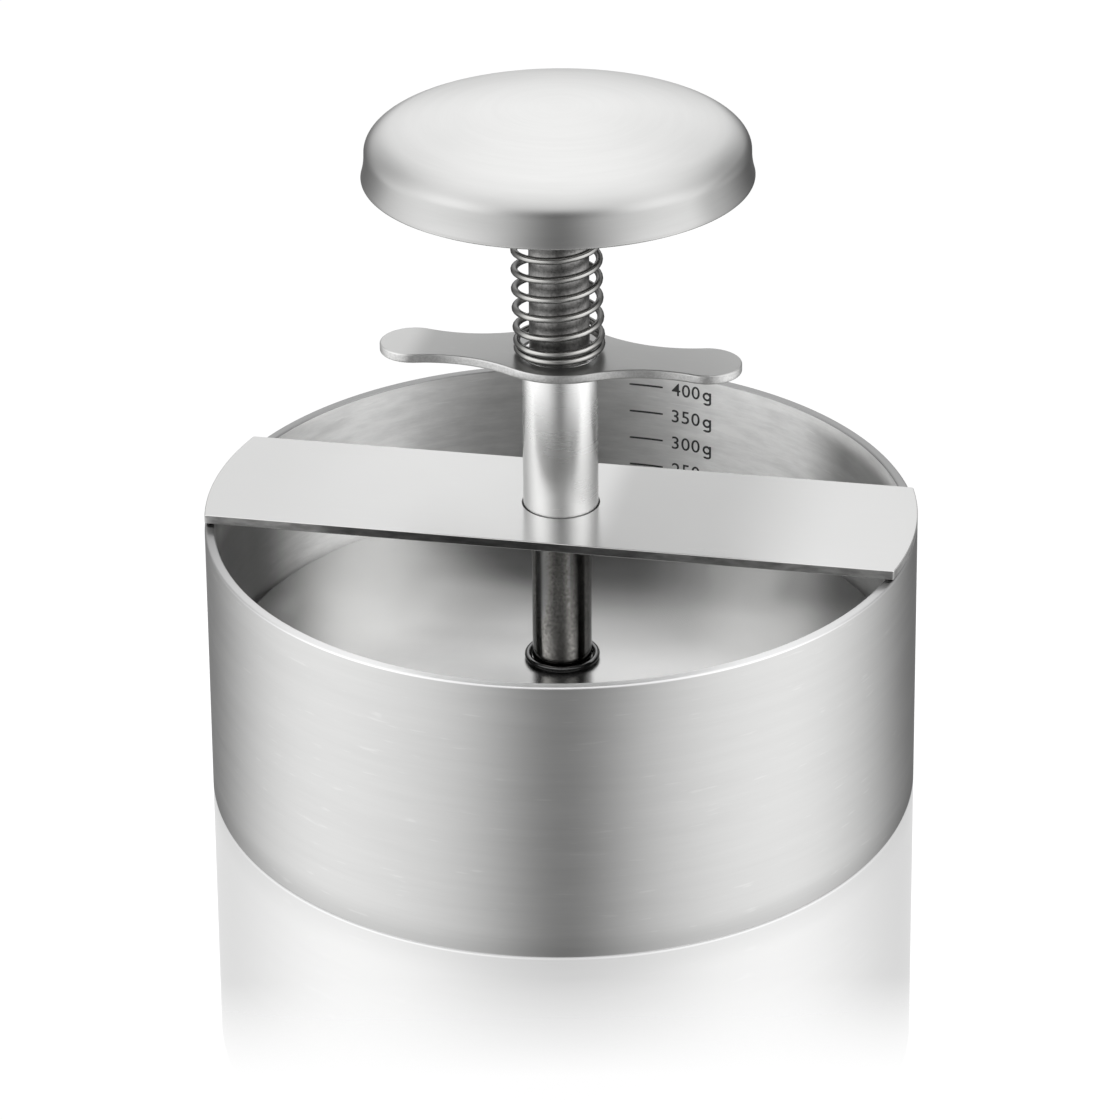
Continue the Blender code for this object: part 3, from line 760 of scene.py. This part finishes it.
def flat_mesh(curve):
    """The filled mesh of a 2D curve or text."""
    obj = bpy.data.objects.new("figures", curve)
    scene.collection.objects.link(obj)
    bpy.context.view_layer.update()
    mesh = bpy.data.meshes.new_from_object(
        obj.evaluated_get(bpy.context.evaluated_depsgraph_get()))
    bpy.data.objects.remove(obj, do_unlink=True)
    return mesh


def print_on_wall(mesh, start, width, z0):
    """Wraps a flat mesh on the bore; its base line lies at height z0."""
    tmp = bmesh.new()
    tmp.from_mesh(mesh)
    bmesh.ops.remove_doubles(tmp, verts=tmp.verts, dist=0.000002)
    x_lo = min(v.co.x for v in tmp.verts)
    x_hi = max(v.co.x for v in tmp.verts)
    for v in tmp.verts:
        x = start + (v.co.x - x_lo) * width / (x_hi - x_lo)
        v.co = wrapped(x, z0 + v.co.y, LIFT[1] if v.co.z > 0 else LIFT[0])
    bmesh.ops.recalc_face_normals(tmp, faces=tmp.faces)
    tmp.to_mesh(mesh)
    tmp.free()
    mark_bm.from_mesh(mesh)
    bpy.data.meshes.remove(mesh)


def letter_g():
    """A plain single-storey g, drawn as one outline and the hole of its bowl."""
    w, xh, drop, stroke, knee = 1.62, 1.55, 0.90, 0.37, 0.36
    cx, cy, rx, ry = w / 2, xh / 2, w / 2, xh / 2 + 0.04
    turn = math.acos((w / 2 - stroke) / rx)
    points = [(w, xh), (w, -knee)]
    for i in range(1, 15):
        a = -math.radians(152) * i / 14
        points.append((cx + rx * math.cos(a), -knee + (drop - knee) * math.sin(a)))
    for i in range(14, -1, -1):
        a = -math.radians(146) * i / 14
        points.append((cx + (rx - stroke) * math.cos(a), -knee + (drop - knee - stroke) * math.sin(a)))
    for i in range(33):
        a = -turn - (math.tau - 2 * turn) * i / 32
        points.append((cx + rx * math.cos(a), cy + ry * math.sin(a)))
    points.append((w - stroke, xh))
    hole = [(cx + (rx - stroke) * math.cos(math.tau * i / 24),
             cy + (ry - stroke) * math.sin(math.tau * i / 24)) for i in range(24)]
    curve = bpy.data.curves.new("unit", "CURVE")
    curve.dimensions = "2D"
    curve.fill_mode = "BOTH"
    curve.extrude = 0.025 * MM
    for loop in (points, hole):
        spline = curve.splines.new("POLY")
        spline.points.add(len(loop) - 1)
        for point, (x, y) in zip(spline.points, loop):
            point.co = (x * MM, y * MM, 0.0, 1.0)
        spline.use_cyclic_u = True
    return curve


LABEL_START = math.radians(88.5 - 80.6) * ring_in
for n in range(2, 9):
    font = bpy.data.curves.new("figures", "FONT")
    font.body = f"{n * 50}"
    font.size = 3.35 * MM
    font.space_character = 1.08
    font.extrude = 0.025 * MM
    font.offset = 0.014 * MM
    font.resolution_u = 5
    base_line = MARK_ZERO + n * MARK_STEP + 0.02 * MM - 0.73 * font.size / 2
    print_on_wall(flat_mesh(font), LABEL_START, 5.24 * MM, base_line)
    print_on_wall(flat_mesh(letter_g()), LABEL_START + 5.82 * MM, 1.62 * MM, base_line + 0.04 * MM)
bmesh.ops.recalc_face_normals(mark_bm, faces=mark_bm.faces)
mark_mesh = bpy.data.meshes.new("gram_scale")
mark_bm.to_mesh(mark_mesh)
mark_bm.free()
finish_mesh("gram_scale", mark_mesh, M_MARK, "mould", [], sharp=30)

# ----------------------------------------------------------------- bridge plate
half_w = (bridge_hi.y - bridge_lo.y) / 2
BRIDGE_R = bridge_hi.x
end_angle = math.asin(half_w / BRIDGE_R)
outline = []
N_END = 40
CORNER = 0.35 * MM


def rounded_outline(points, radius, steps=5):
    """Rounds the sharp corners of an outline that are marked True."""
    out = []
    n = len(points)
    for i, (p, sharp) in enumerate(points):
        if not sharp:
            out.append(p)
            continue
        a = Vector(points[i - 1][0]) - Vector(p)
        b = Vector(points[(i + 1) % n][0]) - Vector(p)
        p0 = Vector(p) + a.normalized() * radius
        p2 = Vector(p) + b.normalized() * radius
        for k in range(steps + 1):
            u = k / steps
            q = (1 - u) ** 2 * p0 + 2 * u * (1 - u) * Vector(p) + u * u * p2
            out.append((q.x, q.y))
    return out


right = [((BRIDGE_R * math.cos(-end_angle + 2 * end_angle * i / N_END),
           BRIDGE_R * math.sin(-end_angle + 2 * end_angle * i / N_END)), i in (0, N_END))
         for i in range(N_END + 1)]
top_line = [((x, half_w), False) for x in np.linspace(right[-1][0][0], -right[-1][0][0], 24)[1:-1]]
left = [((-x, -y), s) for (x, y), s in right]
low_line = [((-x, -y), s) for (x, y), s in top_line]
marked = right + top_line + left + low_line
bridge_outline = rounded_outline([((float(p[0]), float(p[1])), s) for p, s in marked], CORNER)
finish_mesh("bridge_sheet",
            plate_mesh("bridge_sheet", bridge_outline, TUBE_HOLE, bridge_lo.z, bridge_hi.z, 0.16 * MM),
            M_BRIDGE, "bridge_unit", ["bridge_plate"], weighted=True)

# ------------------------------------------------------------------- guide tube
finish_mesh("guide_sleeve",
            lathe_mesh("guide_sleeve",
                       sleeve(5.1 * MM, tube_hi.x, tube_lo.z, tube_hi.z, 0.22 * MM, 0.2 * MM), 128, True),
            M_TUBE, "bridge_unit", ["guide_tube"])

# ------------------------------------------------------------------- finger bar
BAR_HALF = bar_hi.x
BAR_MID = bar_hi.y
BAR_LOBE_R, BAR_NECK, BAR_MID_R = 5.5 * MM, 4.65 * MM, 12.4 * MM


def bar_outline():
    mid_y = BAR_MID - BAR_MID_R
    lobe_x = BAR_HALF - BAR_LOBE_R

    def miss(radius):
        y = BAR_NECK + radius
        x = math.sqrt((BAR_MID_R + radius) ** 2 - (y - mid_y) ** 2)
        return (x - lobe_x) ** 2 + y ** 2 - (BAR_LOBE_R + radius) ** 2, x, y

    low, high = 0.002, 0.2
    for _ in range(60):
        middle = (low + high) / 2
        if miss(middle)[0] > 0:
            low = middle
        else:
            high = middle
    _, wx, wy = miss(low)
    radius = low
    quarter = []
    stop = math.atan2(wy, wx - lobe_x)
    for i in range(25):
        a = stop * i / 24
        quarter.append((lobe_x + BAR_LOBE_R * math.cos(a), BAR_LOBE_R * math.sin(a)))
    a0 = math.atan2(-wy, lobe_x - wx)
    a1 = math.atan2(mid_y - wy, -wx)
    if a1 > 0:
        a1 -= math.tau
    for i in range(1, 29):
        a = a0 + (a1 - a0) * i / 28
        quarter.append((wx + radius * math.cos(a), wy + radius * math.sin(a)))
    a2 = math.atan2(wy - mid_y, wx)
    for i in range(1, 17):
        a = a2 + (math.pi / 2 - a2) * i / 16
        quarter.append((BAR_MID_R * math.cos(a), mid_y + BAR_MID_R * math.sin(a)))
    top = quarter + [(-x, y) for x, y in reversed(quarter[:-1])]
    return top + [(-x, -y) for x, y in top[1:-1]]


finish_mesh("finger_grip",
            plate_mesh("finger_grip", bar_outline(), TUBE_HOLE, bar_lo.z, bar_hi.z, 0.28 * MM),
            M_BAR, "bridge_unit", ["finger_bar"], weighted=True)

# ----------------------------------------------------------------------- washer
finish_mesh("top_ring",
            lathe_mesh("top_ring", sleeve(5.2 * MM, cap_hi.x, cap_lo.z, cap_hi.z, 0.15 * MM, 0.12 * MM), 96, True),
            M_FIX, "top_washer", ["spring_top_washer"])

# ----------------------------------------------------------------------- spring
SPRING_R, WIRE_R = 6.82 * MM, 0.57 * MM
SPRING_Z0, SPRING_Z1 = 73.87 * MM, 104.23 * MM
CLOSED, TURNS, CLOSED_PITCH = 1.0, 11.1, 1.22 * MM
TRAVEL = 16.8 * MM


def coil_height(turn, rise):
    blend = 1.0
    active = TURNS - 2 * CLOSED - blend
    open_pitch = (rise - CLOSED_PITCH * (2 * CLOSED + blend)) / active

    def climbed(x):
        if x <= CLOSED:
            return x * CLOSED_PITCH
        base = CLOSED * CLOSED_PITCH
        u = min(x - CLOSED, blend)
        base += u * CLOSED_PITCH + (open_pitch - CLOSED_PITCH) * u * u / (2 * blend)
        return base + max(0.0, x - CLOSED - blend) * open_pitch

    if turn <= TURNS / 2:
        return climbed(turn)
    return rise - climbed(TURNS - turn)


PER_TURN, AROUND = 40, 16
count = int(TURNS * PER_TURN)
rise_rest = SPRING_Z1 - SPRING_Z0
rise_pressed = rise_rest - TRAVEL
view_right = Vector((0.98136, 0.19218, 0.0))
centres, shares = [], []
for i in range(count + 1):
    turn = TURNS * i / count
    a = math.tau * turn + math.radians(190)
    up = coil_height(turn, rise_rest)
    u = up / rise_rest
    bow = view_right * (-0.34 * MM * math.sin(math.pi * min(1.0, u * 1.05)))
    centres.append(Vector((SPRING_R * math.cos(a), SPRING_R * math.sin(a), SPRING_Z0 + up)) + bow)
    shares.append(min(1.0, max(0.0, (up - coil_height(turn, rise_pressed)) / TRAVEL)))
bm = bmesh.new()
sections = []
for i, c in enumerate(centres):
    before = centres[max(i - 1, 0)]
    after = centres[min(i + 1, count)]
    tangent = (after - before).normalized()
    side = Vector((c.x, c.y, 0)).normalized()
    side = (side - tangent * side.dot(tangent)).normalized()
    up = tangent.cross(side)
    sections.append([
        bm.verts.new(c + WIRE_R * (math.cos(math.tau * k / AROUND) * side
                                   + math.sin(math.tau * k / AROUND) * up))
        for k in range(AROUND)])
for a, b in zip(sections, sections[1:]):
    for k in range(AROUND):
        bm.faces.new((a[k], a[(k + 1) % AROUND], b[(k + 1) % AROUND], b[k]))
# cut ends with a small chamfer
for section, c, sign in ((sections[0], centres[0], -1), (sections[-1], centres[-1], 1)):
    near = centres[1] if sign < 0 else centres[-2]
    out = (c - near).normalized() * 0.12 * MM
    inner = [bm.verts.new(c + (v.co - c) * 0.82 + out) for v in section]
    for k in range(AROUND):
        n = (k + 1) % AROUND
        bm.faces.new((section[k], section[n], inner[n], inner[k]))
    bm.faces.new(inner)
bmesh.ops.recalc_face_normals(bm, faces=bm.faces)
spring_mesh = bpy.data.meshes.new("coil_spring")
bm.to_mesh(spring_mesh)
bm.free()
spring = finish_mesh("coil_spring", spring_mesh, M_SPRING, None, ["spring"], sharp=60)
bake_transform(spring)

# ------------------------------------------------------------------ plunger rod
ROD_R = rod_hi.x
rod_profile = (
    [(0.0, 94.1 * MM), (3.2 * MM, 95.6 * MM), (3.2 * MM, rod_hi.z - 0.3 * MM), (3.5 * MM, rod_hi.z)]
    + arc(ROD_R - 0.4 * MM, rod_hi.z - 0.4 * MM, 0.4 * MM, 0.4 * MM, 90, 0, 4)
    + [(ROD_R, rod_hi.z - (rod_hi.z - rod_lo.z) * k / 12) for k in range(1, 12)]
    + arc(ROD_R - 0.2 * MM, rod_lo.z + 0.2 * MM, 0.2 * MM, 0.2 * MM, 0, -90, 4)
    + [(3.1 * MM, rod_lo.z), (2.8 * MM, rod_lo.z + 0.3 * MM), (2.8 * MM, 32.0 * MM), (0.0, 33.4 * MM)]
)
finish_mesh("rod", lathe_mesh("rod", rod_profile, 128, False), M_ROD,
            "plunger", ["plunger_rod"])

# ------------------------------------------------------------------------- knob
KNOB_RIM_Z, KNOB_RIM_R = knob_lo.z, knob_hi.x
KNOB_WALL_R, KNOB_WALL_Z = 30.65 * MM, 107.7 * MM
KNOB_SHOULDER, KNOB_SHOULDER_END, KNOB_T = (7.0 * MM, 4.0 * MM), math.radians(66), 0.9 * MM


def knob_outside():
    a, b = KNOB_SHOULDER
    cx, cz, t = KNOB_WALL_R - a, KNOB_WALL_Z, KNOB_SHOULDER_END
    r1, z1 = cx + a * math.cos(t), cz + b * math.sin(t)
    slope = b * math.cos(t) / (a * math.sin(t))
    crown = r1 * math.sqrt(1 + slope * slope) / slope
    top = z1 + crown - math.sqrt(crown * crown - r1 * r1)
    out = []
    for i in range(16):
        r = r1 * i / 16
        out.append((r, top - (crown - math.sqrt(crown * crown - r * r))))
    out += arc(cx, cz, a, b, math.degrees(t), 0, 20)
    wall = KNOB_WALL_Z - (KNOB_RIM_Z + 0.45 * MM)
    for i in range(1, 12):
        u = i / 12
        out.append((KNOB_WALL_R + (KNOB_RIM_R - KNOB_WALL_R) * u ** 2.2, KNOB_WALL_Z - wall * u))
    return out


outside = knob_outside()
inside = []
for i, (x, z) in enumerate(outside):
    before = Vector(outside[max(i - 1, 0)])
    after = Vector(outside[min(i + 1, len(outside) - 1)])
    along = (after - before).normalized()
    normal = Vector((along.y, -along.x))
    inside.append((max(x + normal.x * KNOB_T, 0.0) if i else 0.0, z + normal.y * KNOB_T))
rim = arc(KNOB_RIM_R - 0.45 * MM, KNOB_RIM_Z + 0.45 * MM, 0.45 * MM, 0.45 * MM, 0, -180, 10)
finish_mesh("knob_dome", lathe_mesh("knob_dome", outside + rim + list(reversed(inside)), 256, False),
            M_KNOB, "plunger", ["knob_shell"])
finish_mesh("knob_boss", lathe_mesh("knob_boss", [
    (0.0, hub_hi.z), (8.0 * MM, hub_hi.z)] + arc(8.1 * MM, hub_hi.z - 0.4 * MM, 0.4 * MM, 0.4 * MM, 90, 0, 4)
    + arc(8.1 * MM, hub_lo.z + 0.4 * MM, 0.4 * MM, 0.4 * MM, 0, -90, 4)
    + [(3.2 * MM, hub_lo.z), (3.2 * MM, 112.0 * MM), (0.0, 112.6 * MM)], 96, False),
    M_FIX, "plunger", ["knob_hub"])

# ------------------------------------------------------------------- press disc
DISC_R = disc_hi.x
disc_profile = (
    arc(DISC_R - 0.8 * MM, disc_hi.z - 0.8 * MM, 0.8 * MM, 0.8 * MM, 90, 0, 8)
    + arc(DISC_R - 0.3 * MM, disc_lo.z + 0.3 * MM, 0.3 * MM, 0.3 * MM, 0, -90, 4)
    + [(4.95 * MM, disc_lo.z), (2.85 * MM, disc_hi.z - 0.3 * MM), (2.85 * MM, disc_hi.z)]
)
finish_mesh("press_plate", lathe_mesh("press_plate", disc_profile, 256, True), M_DISC,
            "plunger", ["press_disc"])

# ----------------------------------------------------------------------- O-ring
o_r = 5.62 * MM
o_s = 0.52 * MM
o_z = oring_lo.z + o_s
finish_mesh("rubber_ring", lathe_mesh("rubber_ring", [
    (o_r + o_s * math.cos(math.tau * k / 20), o_z - o_s * math.sin(math.tau * k / 20))
    for k in range(20)], 96, True), M_RUBBER, "plunger", ["foot_o_ring"])

# hidden hardware keeps its CAD mesh and gets the machined steel
for node in ("knob_stud", "disc_screw"):
    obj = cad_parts[node]
    obj.data.materials.clear()
    obj.data.materials.append(M_FIX)

# ========================================================================= floor
bm = bmesh.new()
bmesh.ops.create_grid(bm, x_segments=8, y_segments=8, size=3.0)
floor_mesh = bpy.data.meshes.new("floor")
bm.to_mesh(floor_mesh)
bm.free()
floor = bpy.data.objects.new("floor", floor_mesh)
scene.collection.objects.link(floor)
floor.location = (0.0, 0.0, -0.00005)
floor.visible_glossy = False
mat = bpy.data.materials.new("pale_floor")
mat.use_nodes = True
mat.node_tree.nodes.clear()
t = Tree(mat.node_tree)
out = t.add("ShaderNodeOutputMaterial")
co = t.add("ShaderNodeTexCoord").outputs["Object"]
x, y, z = t.split(co)[:3]
r = t.math("SQRT", t.math("ADD", t.math("MULTIPLY", x, x), t.math("MULTIPLY", y, y)))
# the mirror image fades towards the camera and away from the ring
cx, cy = heading(t)
ahead = t.math("ADD", t.math("MULTIPLY", x, cx), t.math("MULTIPLY", y, cy))
fade = t.span(ahead, 0.063, 0.087, 0.47, 0.02, smooth=False)
fade = t.math("MULTIPLY", fade, t.span(r, RING_R + 0.020, RING_R + 0.055, 1.0, 0.0))
white = t.add("ShaderNodeEmission")
white.inputs["Color"].default_value = (1, 1, 1, 1)
white.inputs["Strength"].default_value = 1.03
soft = t.add("ShaderNodeBsdfDiffuse")
soft.inputs["Color"].default_value = (0.95, 0.95, 0.95, 1)
mix1 = t.add("ShaderNodeMixShader")
mix1.inputs[0].default_value = 0.14
t.link(white.outputs[0], mix1.inputs[1])
t.link(soft.outputs[0], mix1.inputs[2])
gloss = t.add("ShaderNodeBsdfGlossy")
gloss.inputs["Color"].default_value = (1, 1, 1, 1)
gloss.inputs["Roughness"].default_value = 0.02
mix2 = t.add("ShaderNodeMixShader")
t.link(fade, mix2.inputs[0])
t.link(mix1.outputs[0], mix2.inputs[1])
t.link(gloss.outputs[0], mix2.inputs[2])
# seen from below, the floor is a glass sheet, so the underside stays visible
clear = t.add("ShaderNodeBsdfTransparent")
mix3 = t.add("ShaderNodeMixShader")
t.link(t.add("ShaderNodeNewGeometry").outputs["Backfacing"], mix3.inputs[0])
t.link(mix2.outputs[0], mix3.inputs[1])
t.link(clear.outputs[0], mix3.inputs[2])
t.link(mix3.outputs[0], out.inputs["Surface"])
floor.data.materials.append(mat)

# =================================================================== light tent
TENT = 1.3
world = bpy.data.worlds.new("light_tent")
scene.world = world
world.use_nodes = True
world.node_tree.nodes.clear()
t = Tree(world.node_tree)
out = t.add("ShaderNodeOutputWorld")
gen = t.add("ShaderNodeTexCoord").outputs["Generated"]
x, y, z = t.split(gen)[:3]
cx, cy = heading(t)
# ahead: towards the camera; aside: to the right as the camera sees it
ahead = t.math("ADD", t.math("MULTIPLY", x, cx), t.math("MULTIPLY", y, cy))
aside = t.math("SUBTRACT", t.math("MULTIPLY", y, cx), t.math("MULTIPLY", x, cy))
azimuth = t.math("ARCTAN2", aside, ahead)
flat = t.math("SQRT", t.math("ADD", t.math("MULTIPLY", x, x), t.math("MULTIPLY", y, y)))
elev = t.math("ARCTAN2", z, flat)
pos = t.math("MULTIPLY_ADD", azimuth, 1 / math.tau, 0.5)


def ramp(stops):
    node = t.add("ShaderNodeValToRGB")
    node.color_ramp.interpolation = "B_SPLINE"
    e = node.color_ramp.elements
    while len(e) > 1:
        e.remove(e[-1])
    for i, (deg, v) in enumerate(stops):
        p = (deg + 180.0) / 360.0
        if i == 0:
            e[0].position = p
            el = e[0]
        else:
            el = e.new(p)
        el.color = (v / 2, v / 2, v / 2, 1.0)
    t.link(pos, node.inputs[0])
    return t.math("MULTIPLY", node.outputs[0], 2.0)


low = ramp([
    (-180, .20), (-162, .14), (-148, .16), (-130, .46), (-116, .84), (-102, 1.10), (-86, 1.25),
    (-70, 1.20), (-54, 1.08), (-40, .95), (-30, .80), (-20, .56), (-13, .40), (-6, .26),
    (0, .20), (6, .26), (13, .40), (20, .58), (28, .74), (38, .92), (50, 1.08), (66, 1.20),
    (80, 1.27), (92, 1.14), (104, .96), (116, .68), (130, .34), (147, .09), (164, .11), (180, .20)])
gap = ramp([
    (-180, 1.02), (-172, .98), (-164, .80), (-150, .55), (-130, .50), (-112, .80), (-92, 1.25),
    (-70, 1.70), (-46, 1.35), (-28, .66), (-14, .30), (-5, .16),
    (0, .12), (5, .16), (14, .30), (28, .66), (46, 1.35), (70, 1.60), (92, 1.10), (112, .60),
    (130, .38), (150, .42), (164, .74), (172, .96), (180, 1.02)])
deg = math.radians(1.0)
high = t.mix(t.span(elev, 28 * deg, 58 * deg), gap, 1.04, "FLOAT")
tent = t.mix(t.span(elev, -4 * deg, 13 * deg), low, high, "FLOAT")
back = t.add("ShaderNodeBackground")
t.link(t.combine(tent, tent, tent), back.inputs["Color"])
back.inputs["Strength"].default_value = TENT
plain_white = t.add("ShaderNodeBackground")
plain_white.inputs["Color"].default_value = (1, 1, 1, 1)
plain_white.inputs["Strength"].default_value = 1.03
path = t.add("ShaderNodeLightPath")
pick = t.add("ShaderNodeMixShader")
t.link(path.outputs["Is Glossy Ray"], pick.inputs[0])
t.link(plain_white.outputs[0], pick.inputs[1])
t.link(back.outputs[0], pick.inputs[2])
t.link(pick.outputs[0], out.inputs["Surface"])
scene.view_settings.view_transform = "Standard"
scene.view_settings.look = "None"

# ======================================================================= camera
cam_data.sensor_width = 36.0
cam_data.lens = 121.87
cam_data.clip_start, cam_data.clip_end = 0.01, 20.0
forward = Vector((-0.18585, 0.94903, -0.25455)).normalized()
right = forward.cross(Vector((0, 0, 1))).normalized()
up = right.cross(forward)
roll = math.radians(-0.499)
right_r = right * math.cos(roll) + up * math.sin(roll)
up_r = right_r.cross(forward)
from mathutils import Matrix
rot = Matrix((right_r, up_r, -forward)).transposed()
cam.rotation_mode = "XYZ"
cam.rotation_euler = rot.to_euler("XYZ")
cam.location = CAM_POS
# The front standard is raised for this view only: turning the camera to a
# quaternion orbit view takes the shift away.
straight_driver(cam_data.driver_add("shift_y"), "SINGLE_PROP", -0.7416, data_path="rotation_mode")
